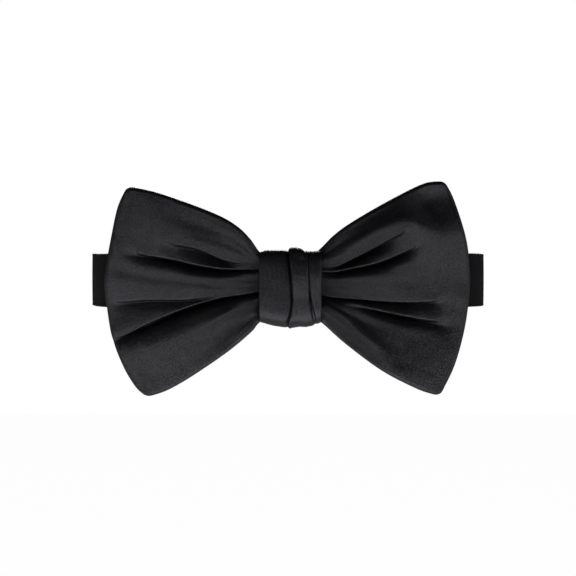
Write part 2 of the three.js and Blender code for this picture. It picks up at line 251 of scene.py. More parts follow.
def satin(name, dark, light, roughness, weave=0.03, sheen=0.01, specular=1.0):
    """Warp-faced satin: long floats of thread seen as fine lines, crossed by rare weft ticks. Slow
    mottle and fine grain vary its colour and its highlights, and grain alone its roughness."""
    material, shader = new_material(name)
    uv = add_node(material, "TexCoord", {}, "UV")
    threads = bands(material, uv, "Y", 1.15, 1.4, 1.6)
    stretched = add_node(material, "Mapping", {"Vector": uv, "Scale": (0.9, 3.2, 1.0)})
    slubs = noise(material, stretched, 1.5, 4.0)
    ticks = add_node(material, "TexVoronoi", {"Vector": stretched, "Scale": 3.4}, "Distance")
    mottle = noise(material, uv, 0.11, 5.0, 0.6)
    grain = noise(material, uv, 1.3, 3.0, 0.6)

    shade = multiply_add(material, mottle, 0.35, grain)
    shade_range = (0.5, 0.85)
    colour = ramp(material, shade, dark, light, *shade_range)
    shine = ramp(material, shade, (0.62, 0.60, 0.67), (0.94, 0.91, 1.0), *shade_range)
    gloss = add_node(material, "MapRange", {
        "Value": grain, "From Min": 0.3, "From Max": 0.7,
        "To Min": roughness - 0.06, "To Max": roughness + 0.07})
    relief = multiply_add(material, ticks, 0.5, threads)
    relief = multiply_add(material, slubs, 1.2, relief)
    relief = multiply_add(material, grain, 2.4, relief)
    set_inputs(shader, {
        "Base Color": colour, "Specular Tint": shine, "Roughness": gloss,
        "Normal": bump(material, relief, weave),
        "Specular IOR Level": specular, "Anisotropic": 0.1,
        "Sheen Weight": sheen, "Sheen Roughness": 0.3, "Sheen Tint": (0.92, 0.91, 1.0, 1)})
    return material


def plain_cloth(name, dark, light):
    """Plain-woven matt cloth, such as interlining: two crossed sets of threads."""
    material, shader = new_material(name)
    uv = add_node(material, "TexCoord", {}, "UV")
    warp, weft = bands(material, uv, "X", 0.9, 1.0), bands(material, uv, "Y", 0.9, 1.0)
    weave = add_node(material, "Math", {0: warp, 1: weft})
    weave.node.operation = "MULTIPLY"
    fuzz = noise(material, uv, 2.2, 6.0)
    height = multiply_add(material, fuzz, 0.6, weave)
    set_inputs(shader, {
        "Base Color": ramp(material, height, dark, light, low_at=0.2),
        "Normal": bump(material, height, 0.12), "Roughness": 0.92, "Sheen Weight": 0.2})
    return material


def thread(name, colour):
    """Twisted sewing thread: diagonal ply marks along the strand."""
    material, shader = new_material(name)
    place = add_node(material, "TexCoord", {}, "Object")
    turned = add_node(material, "Mapping", {
        "Vector": place, "Rotation": (0.5, 0.6, 0.7), "Scale": (1000, 1000, 1000)})
    ply = bands(material, turned, "X", 1.6, 0.6)
    dark, light = ([share * c for c in colour] for share in (0.6, 1.8))
    set_inputs(shader, {
        "Base Color": ramp(material, ply, dark, light),
        "Normal": bump(material, ply, 0.06), "Roughness": 0.55, "Sheen Weight": 0.3})
    return material


def metal(name, colour):
    """Nickel plate with a faint drawn grain and small scuffs."""
    material, shader = new_material(name)
    place = add_node(material, "TexCoord", {}, "Object")
    drawn = add_node(material, "Mapping", {"Vector": place, "Scale": (1000, 1000, 160)})
    grain = noise(material, drawn, 2.4, 6.0)
    scuffs = noise(material, place, 420.0, 8.0, 0.75)
    rough = add_node(material, "MapRange", {
        "Value": scuffs, "From Min": 0.35, "From Max": 0.7, "To Min": 0.2, "To Max": 0.42})
    set_inputs(shader, {
        "Base Color": ramp(material, scuffs, [0.82 * c for c in colour], colour),
        "Normal": bump(material, grain, 0.008), "Roughness": rough, "Metallic": 1.0})
    return material


SATIN_DARK, SATIN_LIGHT = (0.0008, 0.0007, 0.0009), (0.0064, 0.0060, 0.0072)
SATIN = satin("bow_satin", SATIN_DARK, SATIN_LIGHT, 0.37)
KNOT_SATIN = satin("knot_satin", SATIN_DARK, SATIN_LIGHT, 0.43)
BAND_SATIN = satin("band_satin", (0.003, 0.003, 0.004), (0.006, 0.006, 0.007), 0.46,
                   weave=0.05, sheen=0.0, specular=0.07)
INTERLINING = plain_cloth("interlining", (0.30, 0.29, 0.26), (0.55, 0.53, 0.48))
THREAD = thread("thread", (0.012, 0.012, 0.013))
NICKEL = metal("hardware", (0.60, 0.59, 0.57))


def finish_piece(obj, material, node):
    """Gives a piece its material and its slot, and lets it stand for its CAD node."""
    obj.data.materials.append(material)
    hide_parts(node)


# ---- wings ----
# Outlines as seen from the front, (x, z). The top and bottom edges run from the knot to the tips, and
# the outer edge runs upwards.

OUTLINES = {
    "left": {
        "top": [(-5.5, 9.0), (-9.4, 11.7), (-12.5, 16.0), (-16.5, 20.0), (-22.4, 23.6), (-32.3, 27.6),
                (-44.2, 31.5), (-53.4, 33.3)],
        "outer": [(-47.0, -35.6), (-50.2, -32.5), (-54.1, -25.9), (-58.1, -15.3), (-60.1, -2.0),
                  (-60.1, 5.1), (-58.1, 17.3), (-56.1, 26.9), (-53.4, 33.3)],
        "bottom": [(-5.5, -9.0), (-9.6, -11.4), (-12.5, -14.7), (-20.5, -21.3), (-32.3, -29.2),
                   (-40.3, -33.5), (-47.0, -35.6)],
    },
    "right": {
        "top": [(6.5, 9.5), (10.9, 13.0), (15.2, 17.3), (21.1, 21.6), (33.0, 28.5), (44.9, 34.2),
                (52.0, 35.2)],
        "outer": [(50.2, -35.0), (54.8, -25.2), (58.2, -13.0), (59.8, -1.0), (59.8, 5.8),
                  (58.7, 15.7), (54.8, 29.2), (52.0, 35.2)],
        "bottom": [(6.5, -8.6), (11.0, -11.2), (19.1, -18.3), (31.0, -26.9), (42.9, -32.8),
                   (50.2, -35.0)],
    },
}

# Folds of the front cloth: each a line of (x, z, depth, width), then two numbers that scale its width
# above and below the line. Depth sinks the cloth, and a minus lifts it.
FOLDS = {
    "left": [
        # Long upper crease.
        ([(-7, 5.8, 3.4, 1.1), (-15, 6.0, 4.2, 0.95), (-22, 6.1, 5.2, 1.3), (-30, 7.2, 5.2, 1.5),
          (-38, 9.0, 4.4, 1.5), (-45, 10.1, 2.8, 1.6), (-51, 10.8, 0.7, 2.0),
          (-56, 11.2, 0, 2.2)], 0.35, 0.95),
        # Its branch, which starts a little above it.
        ([(-12, 7.4, 0, 0.9), (-17, 8.2, 1.8, 0.8), (-22, 9.4, 4.0, 1.0), (-30, 12.4, 3.4, 1.4),
          (-38, 13.6, 1.2, 2.0), (-44, 14.4, 0, 2.2)], 0.45, 2.1),
        # Long lower crease, down to the outer edge.
        ([(-7, -1.2, 3.6, 1.0), (-15, -2.2, 4.2, 0.9), (-22, -3.4, 4.6, 1.2), (-30, -5.7, 5.0, 1.5),
          (-38, -8.6, 5.0, 1.5), (-46, -12.0, 4.2, 1.25), (-54, -16.0, 1.6, 1.1),
          (-59, -18.2, 0.2, 1.5)], 0.35, 0.95),
        # Shallow crease above it.
        ([(-22, -2.4, 0, 0.9), (-28, -3.4, 1.4, 0.9), (-36, -4.2, 1.8, 1.0), (-46, -4.4, 1.6, 1.1),
          (-54, -5.2, 1.2, 1.2), (-59, -5.8, 0.3, 1.6)], 0.5, 2.0),
        # Faint hollow in the upper part.
        ([(-40, 26, 0, 4), (-30, 21.5, 0.35, 3.4), (-23, 17.4, 0.3, 3.0),
          (-16, 13.4, 0, 1.8)], 1.2, 1.4),
        # Ridge above the upper creases.
        ([(-10, 7.8, -0.5, 1.8), (-15, 9.2, -0.8, 2.2), (-22, 12.4, -0.9, 2.6),
          (-30, 15.4, -1.0, 3.2), (-38, 18.2, -0.8, 3.8), (-46, 22, 0, 4.6)], 1.3, 0.9),
        # Bright ridge below the lower crease.
        ([(-9, -3.6, -3.4, 1.3), (-15, -5.8, -2.9, 2.3), (-22, -9.6, -2.4, 2.8),
          (-30, -14.2, -1.7, 4.2), (-38, -17.2, -1.6, 4.4), (-46, -19.6, -1.4, 4.4),
          (-56, -22, -0.8, 4.4)], 1.0, 1.6),
        # Faint hollow along the middle.
        ([(-13, 0.2, 0, 0.9), (-22, 0.8, 0.3, 1.1), (-30, 1.9, 0.3, 1.3), (-38, 2.8, 0.3, 1.5),
          (-46, 3.6, 0.3, 1.8), (-54, 5.6, 0.3, 2.2), (-59, 6.6, 0.2, 2.4)], 1.0, 1.0),
        # Pucker under the knot.
        ([(-10, -8.6, 1.0, 1.0), (-15, -11.8, 2.0, 1.4), (-22, -17.8, 0.8, 3.0),
          (-30, -25, 0, 4)], 0.9, 1.2),
        # Broad roll of the lower part.
        ([(-18, -32, -0.8, 10), (-36, -43, -3.0, 15), (-54, -52, -3.6, 20),
          (-70, -58, -3.6, 22)], 1.2, 1.0),
        # Small ridge along the upper side of the lower crease.
        ([(-28, -4.2, 0, 1.2), (-36, -7.0, -0.2, 2.2), (-46, -10.8, -0.5, 3.6),
          (-55, -14.0, -0.6, 3.6), (-60, -16, -0.5, 3.6)], 1.0, 0.6),
        # Broad swell of the outer middle.
        ([(-36, 0, 0, 8), (-48, 2, -0.8, 9), (-60, 4, -1.6, 10), (-70, 4, -1.6, 10)], 1.4, 0.8),
    ],
    "right": [
        # Upper crease.
        ([(7, 5.8, 3.0, 1.0), (15, 6.8, 4.6, 1.0), (22, 9.9, 7.0, 1.0), (30, 13.6, 4.6, 1.4),
          (37, 17.0, 1.5, 1.8), (43, 19.0, 0, 2.0)], 0.45, 1.5),
        # Crease just below it.
        ([(9, 5.0, 1.0, 1.1), (15, 5.0, 3.4, 1.2), (22, 6.3, 4.2, 1.3), (30, 8.1, 4.6, 1.4),
          (38, 11.2, 3.0, 1.5), (42, 12.9, 1.0, 1.8), (45.5, 14.4, 0, 2.0)], 0.4, 1.0),
        # Long thin middle crease.
        ([(7, -1.8, 3.6, 0.6), (15, -3.0, 4.2, 0.6), (22, -3.5, 4.2, 0.6), (30, -4.3, 3.4, 0.8),
          (38, -4.8, 2.8, 0.9), (46, -4.8, 1.6, 1.0), (52, -5.0, 0.5, 2.4),
          (57, -5.2, 0, 2.8)], 0.4, 1.7),
        # Crease just below it.
        ([(19, -5.6, 0, 1.0), (25, -6.8, 1.2, 0.9), (30, -7.8, 3.0, 1.0), (38, -9.5, 3.4, 1.1),
          (46, -11.2, 2.2, 1.4), (53, -12.8, 0.5, 3.0), (58, -13.6, 0, 3.4)], 0.5, 1.05),
        # Soft hollow in the upper corner.
        ([(28, 31, 0, 4.0), (38, 31.5, 0.9, 4.4), (45, 30.5, 1.9, 4.6), (51, 31.0, 1.7, 4.6),
          (57, 32, 1.2, 4.6)], 1.0, 1.5),
        # Bright ridge above the upper crease.
        ([(9, 7.8, -3.0, 1.8), (15, 9.9, -2.8, 2.1), (22, 14.0, -2.5, 2.9), (30, 18.6, -2.5, 3.6),
          (38, 21.2, -2.4, 4.0), (45, 20.4, -1.9, 4.0), (51, 17.8, -0.6, 3.8),
          (57, 15, 0, 3.8)], 1.05, 1.3),
        # Bright ridge below the lower creases.
        ([(9, -5.4, -3.0, 1.3), (15, -7.8, -3.0, 2.0), (22, -13.6, -2.3, 2.6), (30, -20.2, -1.4, 3.4),
          (38, -29, 0, 4.4)], 1.0, 1.3),
        # Low ridge along the middle.
        ([(8, -0.6, -0.1, 1.5), (22, -1.8, -0.2, 2.2), (38, -2.8, -0.35, 2.8),
          (54, -3.2, -0.3, 3.2)], 1.3, 0.8),
        # Small ridge along the upper side of the lower crease.
        ([(30, -7.0, 0, 1.4), (40, -8.8, -0.25, 2.4), (46, -10.0, -0.3, 3.0),
          (53, -11.6, 0, 3.4)], 1.0, 0.6),
        # Broad ridge of the outer middle.
        ([(38, 11, 0, 4.0), (46, 13.0, -0.9, 4.4), (54, 17.5, -1.3, 4.6),
          (62, 19, -1.4, 5.0)], 1.4, 1.7),
        # Broad roll of the lower part.
        ([(18, -34, -1.6, 12), (36, -43, -9.0, 18), (54, -54, -7.4, 24),
          (70, -60, -7.0, 26)], 1.2, 1.0),
    ],
}

# How far the cloth above a sharp crease is drawn down, for each millimetre of its depth.
LIP = 0.05
# A crease is a fold that sinks and whose upper side is narrower than this.
NARROW = 0.8

# How the front cloth turns round the edge: the radius of the roll, and the hem behind it.
EDGE_ROLL = 1.15
HEM = 2.6
BOW_DEPTH = 2 * EDGE_ROLL
# The rounding of a wing's two tips, as a share of the wing.
TIP_ROUND = 0.025
# A power: the higher it is, the nearer to its end each edge bends to meet the next.
END_PULL = 6

FACE_PLY = 0.36
INTERLINING_PLY = 0.6
# How far each hidden layer is drawn in from the outline, and how far behind the face it lies.
HIDDEN = {"interlining": (EDGE_ROLL + 0.9, EDGE_ROLL), "rear": (EDGE_ROLL + 0.2, BOW_DEPTH + 0.42)}

# The back bow: how far behind it stands, at the knot and more towards its tips, and its size.
BACK_BOW_STEP = 3.1
BACK_BOW_FAN = 1.5
BACK_BOW_SCALE = 0.965
WING_ROOT = {"left": -5.5, "right": 6.5}

WING_FLAT = (0.060, 0.078)

# How many times the folds of each layer are evened out.
SOFTENING = {("front", "face"): 0, ("front", "interlining"): 2, ("front", "rear"): 12,
             ("back", "face"): 12, ("back", "interlining"): 12, ("back", "rear"): 20}


def patch(side, columns, rows, inset):
    """Points (x, z) of a wing, drawn in from its outline by inset."""
    lines = OUTLINES[side]
    fine = 400
    top = smooth_path(lines["top"], fine)
    bottom = smooth_path(lines["bottom"], fine)
    outer = smooth_path(lines["outer"], fine)

    inward = inset if side == "right" else -inset
    top = top - inward * normals(top)
    bottom = bottom + inward * normals(bottom)
    outer = outer + inward * normals(outer)
    corner_top = np.array([outer[-1][0], top[-1][1]])
    corner_low = np.array([outer[0][0], bottom[-1][1]])
    s = np.linspace(0, 1, fine)
    near_end, near_start = s[:, None] ** END_PULL, (1 - s[:, None]) ** END_PULL
    top = top + (corner_top - top[-1]) * near_end
    bottom = bottom + (corner_low - bottom[-1]) * near_end
    outer = outer + (corner_top - outer[-1]) * near_end + (corner_low - outer[0]) * near_start

    def along(line, t):
        return np.stack([np.interp(t, s, column) for column in line.T], -1)

    # A Coons patch: the four edges blended, less the blend of the four corners.
    u, v = np.meshgrid(np.linspace(0, 1, columns), np.linspace(0, 1, rows), indexing="ij")
    u, v = rounded_corners(u, v)
    at_top, at_bottom, at_outer = along(top, u), along(bottom, u), along(outer, v)
    u, v = u[..., None], v[..., None]
    inner = bottom[0] + (top[0] - bottom[0]) * v
    low_corners = bottom[0] * (1 - u) + bottom[-1] * u
    high_corners = top[0] * (1 - u) + top[-1] * u
    corners = low_corners * (1 - v) + high_corners * v
    return at_bottom * (1 - v) + at_top * v + inner * (1 - u) + at_outer * u - corners


def rounded_corners(u, v):
    """Moves grid parameters so that the two tips of a wing are round instead of sharp."""
    along = np.clip((u - 1 + TIP_ROUND) / TIP_ROUND, 0, 1)
    across = np.clip((np.abs(2 * v - 1) - 1 + TIP_ROUND) / TIP_ROUND, 0, 1)
    u = u + TIP_ROUND * along * (np.sqrt(1 - across ** 2 / 2) - 1)
    v = v + np.sign(2 * v - 1) * TIP_ROUND / 2 * across * (np.sqrt(1 - along ** 2 / 2) - 1)
    return u, v


def fold_relief(side, x, z):
    """How far the folds sink the cloth, and how far they draw it down, in mm.

    A fold is soft on both sides. A crease climbs ever more slowly on its lower side, and where it is
    deep it is sharp: it falls from a brink above it, which is drawn down a little."""
    sink, drop = np.zeros_like(x), np.zeros_like(x)
    for points, upper, lower in FOLDS[side]:
        line = smooth_path(points, 200)
        line = line[np.argsort(line[:, 0])]
        slope = np.gradient(line[:, 1], line[:, 0])
        height, depth, width = (np.interp(x, line[:, 0], line[:, k]) for k in (1, 2, 3))
        d = (z - height) / np.hypot(1, np.interp(x, line[:, 0], slope))
        sharp = smoothstep(0.8, 2.4, depth) * (upper < NARROW)
        # A fold that sinks narrows on its upper side only as it gets deep.
        steep = 1 + (upper - 1) * (smoothstep(0.3, 1.5, depth) if depth.max() > 0 else 1)
        reach = np.abs(d) / (width * np.where(d > 0, steep, lower))
        crease = (depth > 0) & (upper < NARROW)
        soft = np.exp(-reach ** np.where((d < 0) & crease, 1.25, 2.0))
        brink = 1 - smoothstep(0, 1.5, reach)
        sink += depth * np.where(d > 0, soft + (brink - soft) * sharp, soft)
        past = d - 0.7 * width
        drop += LIP * depth * sharp * np.exp(-(past / (width * np.where(past > 0, 2.4, 0.7))) ** 2)
    return sink, drop


def slow_waves(x, z, seed, size):
    """Smooth unevenness, from -1 to 1, made of waves about size mm long in seeded directions."""
    rng = np.random.default_rng(seed)
    total = np.zeros_like(x)
    for _ in range(7):
        angle, phase = rng.uniform(0, math.pi), rng.uniform(0, 2 * math.pi)
        length = rng.uniform(0.6, 1.8) * size
        total += np.sin(2 * math.pi * (x * math.cos(angle) + z * math.sin(angle)) / length + phase)
    return total / 7


def front_depth(side, u, v, x, z, folds, bow):
    """Y of the wing's front face: u runs from 0 at the knot to 1 at the tips, and v upwards."""
    reach = np.abs(x)
    # The wing swells forward beside the knot and leans back towards its tips and its long edges.
    belly = -9.3 - 2.9 * smoothstep(2, 26, reach) + 2.6 * smoothstep(20, 60, reach)
    crown = 0.3 * np.abs(2 * v - 1) ** 3 * smoothstep(6, 26, reach)
    shoulder = 0.5 * np.abs(2 * v - 1) ** 8
    if bow == "back":
        return belly + crown + shoulder + folds * (1 - 0.3 * u) + BACK_BOW_STEP + BACK_BOW_FAN * u
    # Fine gathers run out from the knot, and the whole face is a little uneven.
    rays = 0.10 * np.sin(2 * math.pi * 13 * v + 2.5 * np.sin(3 * u)) * np.exp(-3.0 * u)
    seed = 11 if side == "left" else 23
    uneven = 0.22 * slow_waves(x, z, seed, 22) + 0.07 * slow_waves(x, z, seed + 1, 6)
    return belly + crown + shoulder + folds + (rays + uneven) * smoothstep(9, 18, reach)


def softened(values, passes):
    """Evens out a grid of values along its rows by averaging neighbours."""
    for _ in range(passes):
        wide = np.pad(values, ((0, 0), (1, 1)), mode="edge")
        values = (wide[:, :-2] + 2 * wide[:, 1:-1] + wide[:, 2:]) / 4
    return values


def wing_grid(side, bow, layer, columns, rows, inset, sink):
    """Points of one layer of a wing, sink mm behind the bow's front face."""
    place = patch(side, columns, rows, inset)
    x, z = place[..., 0], place[..., 1]
    if bow == "back":
        root = WING_ROOT[side]
        x, z = root + (x - root) * BACK_BOW_SCALE, z * BACK_BOW_SCALE
    u = np.broadcast_to(np.linspace(0, 1, columns)[:, None], x.shape)
    v = np.broadcast_to(np.linspace(0, 1, rows)[None, :], x.shape)
    # The knot squeezes the folds, which grow as they leave it. They are softer in the hidden layers.
    grow = 0.42 + 0.58 * smoothstep(8, 24, np.abs(x))
    folds, drop = fold_relief(side, x, z)
    folds = softened(folds * grow, SOFTENING[bow, layer])
    y = front_depth(side, u, v, x, z, folds, bow) + sink
    if (bow, layer) != ("front", "face"):
        drop = 0
    # Nothing is drawn down at the edges or at the knot.
    loose = smoothstep(0, 0.06, v) * smoothstep(0, 0.06, 1 - v) * smoothstep(9, 16, np.abs(x))
    return np.stack([x, y, z - drop * loose], -1)


def wing_uv(columns, rows):
    """Millimetres of the flat cloth, which the knot gathers: its threads run out in a fan."""
    u, v = np.meshgrid(np.linspace(0, 1, columns), np.linspace(0, 1, rows), indexing="ij")
    return np.stack([1000 * WING_FLAT[0] * u, 1000 * WING_FLAT[1] * v], -1)


def cloth_uv(points):
    """Millimetres of cloth along and across a grid of points."""
    along = np.zeros(points.shape[:2])
    across = np.zeros(points.shape[:2])
    along[1:] = np.cumsum(np.linalg.norm(np.diff(points, axis=0), axis=-1), 0)
    across[:, 1:] = np.cumsum(np.linalg.norm(np.diff(points, axis=1), axis=-1), 1)
    return np.stack([along, across], -1)


def rolled_face(side, bow, columns, rows):
    """The front cloth: a grid whose edges roll back and end in a hem behind."""
    grid = wing_grid(side, bow, "face", columns, rows, EDGE_ROLL, 0)
    uv = wing_uv(columns, rows)
    edge = [(i, rows - 1) for i in range(columns)]
    edge += [(columns - 1, j) for j in range(rows - 2, -1, -1)]
    edge += [(i, 0) for i in range(columns - 2, -1, -1)]
    border = np.array([grid[i, j] for i, j in edge])
    border_uv = np.array([uv[i, j] for i, j in edge])
    outward = normals(border[:, [0, 2]]) * (-1 if side == "left" else 1)
    for _ in range(3):
        outward[1:-1] = (outward[:-2] + 2 * outward[1:-1] + outward[2:]) / 4
        outward = unit(outward)
    rings, ring_uv = [], []
    for angle in np.linspace(0, math.pi, 10)[1:]:
        ring = border.copy()
        ring[:, [0, 2]] += EDGE_ROLL * math.sin(angle) * outward
        ring[:, 1] += EDGE_ROLL * (1 - math.cos(angle))
        rings.append(ring)
        ring_uv.append(border_uv + EDGE_ROLL * angle * outward)
    for reach in np.linspace(0, HEM, 5)[1:]:
        ring = border.copy()
        ring[:, [0, 2]] -= reach * outward
        ring[:, 1] += BOW_DEPTH
        rings.append(ring)
        ring_uv.append(border_uv + (EDGE_ROLL * math.pi + reach) * outward)
    vertices = np.vstack([grid.reshape(-1, 3)] + rings)
    flip = side == "left"
    faces = grid_faces(columns, rows, flip=flip)
    index = [i * rows + j for i, j in edge]
    start = columns * rows
    for _ in rings:
        below = list(range(start, start + len(edge)))
        for a in range(len(edge) - 1):
            quad = [index[a], index[a + 1], below[a + 1], below[a]]
            faces.append(quad[::-1] if flip else quad)
        index = below
        start += len(edge)
    return vertices, faces, np.vstack([uv.reshape(-1, 2)] + ring_uv)


def wing_layer(side, bow, layer, columns, rows):
    name = f"{bow}_bow_{side}_{layer}"
    ply, material, slot = FACE_PLY, SATIN, "bow_satin"
    if layer == "interlining":
        ply, material, slot = INTERLINING_PLY, INTERLINING, "interlining"
    if layer == "face":
        vertices, faces, uv = rolled_face(side, bow, columns, rows)
    else:
        vertices = wing_grid(side, bow, layer, columns, rows, *HIDDEN[layer]).reshape(-1, 3)
        faces = grid_faces(columns, rows, flip=side == "left")
        uv = wing_uv(columns, rows).reshape(-1, 2)
    piece = make_mesh(name + "_cloth", vertices, faces)
    set_uv(piece, uv)
    thicken(piece, ply)
    finish_piece(piece, material, name)
    return piece


def make_wings():
    for side in ("left", "right"):
        for bow in ("front", "back"):
            for layer in ("face", "interlining", "rear"):
                columns, rows = (180, 290) if (bow, layer) == ("front", "face") else (90, 150)
                piece = wing_layer(side, bow, layer, columns, rows)
                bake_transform(piece)


make_wings()


# ---- knot ----

KNOT_MIDDLE_Y = -6.65
KNOT_HALF_Y = 6.65
# The wrap is squarer than an oval: 2 would make it round.
KNOT_SQUARENESS = 4.5
KNOT_LEFT, KNOT_RIGHT = -9.4, 10.9
# The radius at which the wrap's ends turn in, and how far inside them the lining ends.
WRAP_ROLL = 0.38
LINING_INSET = 1.2
# The wrap's upper and lower outline from the front, as (x, z).
KNOT_TOP = [(-9.4, 11.3), (-8.6, 12.0), (-7.4, 12.35), (-0.6, 12.3), (0.2, 12.7), (2.1, 13.2),
            (4.0, 12.9), (5.3, 11.9), (8.0, 11.9), (10.9, 12.2)]
KNOT_BOTTOM = [(-9.4, -11.1), (-5.0, -12.3), (0.3, -13.1), (3.6, -12.5), (6.1, -12.6),
               (8.6, -12.1), (10.9, -11.1)]
# The two creases between its three pleats, upwards, as (z, x).
CREASE_1 = [(-13, 0.2), (-11, 0.2), (-8.7, 0.9), (-3.8, 1.6), (3.8, 1.1), (12.1, 0.3), (13, 0.3)]
CREASE_2 = [(-13, 8.8), (-10.8, 8.6), (-8.8, 8.1), (-3.8, 7.1), (3.8, 6.6), (10.7, 6.4), (13, 6.2)]


def knot_point(x, angle, rise):
    """A point of the wrap at x, at an angle round it (0 is the front), lifted by rise."""
    c, s = np.cos(angle), np.sin(angle)
    power = 2 / KNOT_SQUARENESS
    high = np.interp(x, *zip(*KNOT_TOP))
    low = -np.interp(x, *zip(*KNOT_BOTTOM))
    z = (np.where(s > 0, high, low) + 0.35 * rise) * squared_off(s, power)
    # The front leans back above the middle, where the cloth is drawn over the top.
    lean = 0.003 * np.maximum(z - 0.5, 0) ** 2 * smoothstep(0, 0.4, c)
    y = KNOT_MIDDLE_Y - (KNOT_HALF_Y + rise) * squared_off(c, power) + lean
    return np.stack(np.broadcast_arrays(x, y, z), -1)


def pleat_rise(x, z, angle):
    """How far the wrap stands proud at each point."""
    c1, c2 = np.interp(z, *zip(*CREASE_1)), np.interp(z, *zip(*CREASE_2))
    main = 0.25 * np.sin(math.pi * np.clip((x - KNOT_LEFT) / (c1 - KNOT_LEFT), 0, 1)) ** 0.6
    middle = 0.85 - 0.35 * np.clip((x - c1) / (c2 - c1), 0, 1)
    right = 0.35 + 0.10 * np.sin(math.pi * np.clip((x - c2) / (KNOT_RIGHT - c2), 0, 1)) ** 0.8
    step_1 = smoothstep(-0.10, 0.42, x - c1)
    step_2 = smoothstep(-0.42, 0.10, x - c2)
    on_middle = step_1 * (1 - step_2)
    rise = main * (1 - step_1) + middle * on_middle + right * step_2
    # The first crease is deep at the top, the second at the bottom.
    deep_1 = 0.6 + 0.9 * smoothstep(2, 11, z)
    deep_2 = 0.5 + 1.0 * smoothstep(1, -5, z)
    wide_2 = 0.24 + 0.22 * smoothstep(1, -5, z)
    rise -= deep_1 * np.exp(-((x - c1 + 0.2) / np.where(x < c1 - 0.2, 0.5, 0.26)) ** 2)
    rise -= deep_2 * np.exp(-((x - c2 - 0.2) / wide_2) ** 2)
    # A hem line runs just inside the lower edge.
    hem = z - np.interp(x, *zip(*KNOT_BOTTOM)) - 0.9
    rise -= 0.22 * np.exp(-(hem / 0.22) ** 2)
    # Fine gathers cross the top and bottom, the middle pleat puckers near its top, and the two
    # narrower pleats stand out most a little above the middle.
    over = smoothstep(0.5, 0.95, np.abs(np.sin(angle)))
    gathers = 0.06 * np.sin(2.6 * x + 1.3 * np.sin(1.7 * x)) * over
    ripples = np.sin(1.5 * z + 0.7 * x + 1.2 * np.sin(0.6 * x)) * smoothstep(4, 10, z)
    puckers = 0.10 * ripples * on_middle
    uneven = 0.13 * slow_waves(x, z, 5, 8)
    bulge = (0.9 * on_middle + 0.8 * step_2) * np.exp(-((z - 4) / 6) ** 2)
    # The back lies flat against the collar.
    off_the_back = smoothstep(-0.75, -0.1, np.cos(angle))
    return (rise + gathers + puckers + uneven + bulge) * off_the_back


def knot_sleeve(name, offset, ply, inset, turned_in):
    """A sleeve of cloth round the knot, whose two ends turn in by turned_in mm."""
    across = np.linspace(KNOT_LEFT + inset, KNOT_RIGHT - inset, 190)
    around = math.pi + np.linspace(0, 2 * math.pi, 300, endpoint=False)
    x, angle = np.meshgrid(across, around, indexing="ij")
    z = knot_point(x, angle, 0)[..., 2]
    rise = pleat_rise(x, z, angle) + offset
    body = knot_point(x, angle, rise)
    rows = [body]
    if turned_in:
        for end, sign in ((0, -1), (-1, 1)):
            extra = []
            for t in np.linspace(0, math.pi, 7)[1:]:
                lift = rise[end] - WRAP_ROLL * (1 - math.cos(t))
                extra.append(knot_point(across[end] + sign * WRAP_ROLL * math.sin(t), around, lift))
            for reach in np.linspace(0, turned_in, 4)[1:]:
                extra.append(knot_point(across[end] - sign * reach, around,
                                        rise[end] - 2 * WRAP_ROLL))
            extra = np.array(extra)
            rows = [extra[::-1]] + rows if end == 0 else rows + [extra]
    body = np.concatenate(rows)
    piece = make_mesh(name, body.reshape(-1, 3),
                      grid_faces(len(body), len(around), flip=True, wrap_columns=True))
    uv = cloth_uv(body)
    set_uv(piece, uv[..., ::-1].reshape(-1, 2))
    thicken(piece, ply)
    return piece


def make_knot():
    wrap = knot_sleeve("knot_wrap_cloth", -0.2, 0.34, WRAP_ROLL, 3.0)
    finish_piece(wrap, KNOT_SATIN, "knot_wrap")
    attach(wrap, "knot")
    lining = knot_sleeve("knot_interlining_cloth", -1.75, 0.45, LINING_INSET, 0)
    finish_piece(lining, INTERLINING, "knot_interlining")
    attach(lining, "knot")


make_knot()


def make_waists():
    """The gathered cloth inside the knot: a pleated block for each bow."""
    for name, (front, back) in {"front_waist": (-10.5, -8.0), "back_waist": (-7.2, -4.9)}.items():
        across = np.linspace(-5.2, 6.0, 40)
        around = np.linspace(0, 2 * math.pi, 160, endpoint=False)
        x, angle = np.meshgrid(across, around, indexing="ij")
        waist = 1 - 0.06 * np.cos(math.pi * x / 12)
        pleats = 1 + 0.10 * np.sin(14 * angle + 0.2 * x)
        y = (front + back) / 2 - (back - front) / 2 * squared_off(np.cos(angle), 0.5) * pleats
        z = 8.6 * waist * squared_off(np.sin(angle), 0.5)
        body = np.stack([x, y, z], -1)
        faces = grid_faces(len(across), len(around), flip=True, wrap_columns=True)
        faces += end_caps(len(across), len(around))
        piece = make_mesh(name + "_gather", body.reshape(-1, 3), faces)
        set_uv(piece, cloth_uv(body).reshape(-1, 2))
        finish_piece(piece, SATIN, name)
        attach(piece, "knot")


make_waists()


# ---- neckband ----

BAND_WIDTH = 18.5
BAND_PLY = 1.0
BAND_Z = 1.5
# The neck loop is round: the radius of the band's middle, and where its centre is.
LOOP_OUTER = 70.5
LOOP_RADIUS = LOOP_OUTER - BAND_PLY / 2
LOOP_Y = LOOP_OUTER - 3.55
# Clearance between layers, the wire's radius, and how far outside the band's middle the wire lies.
GAP = 0.3
WIRE = 0.8
LIFT = BAND_PLY / 2 + GAP + WIRE
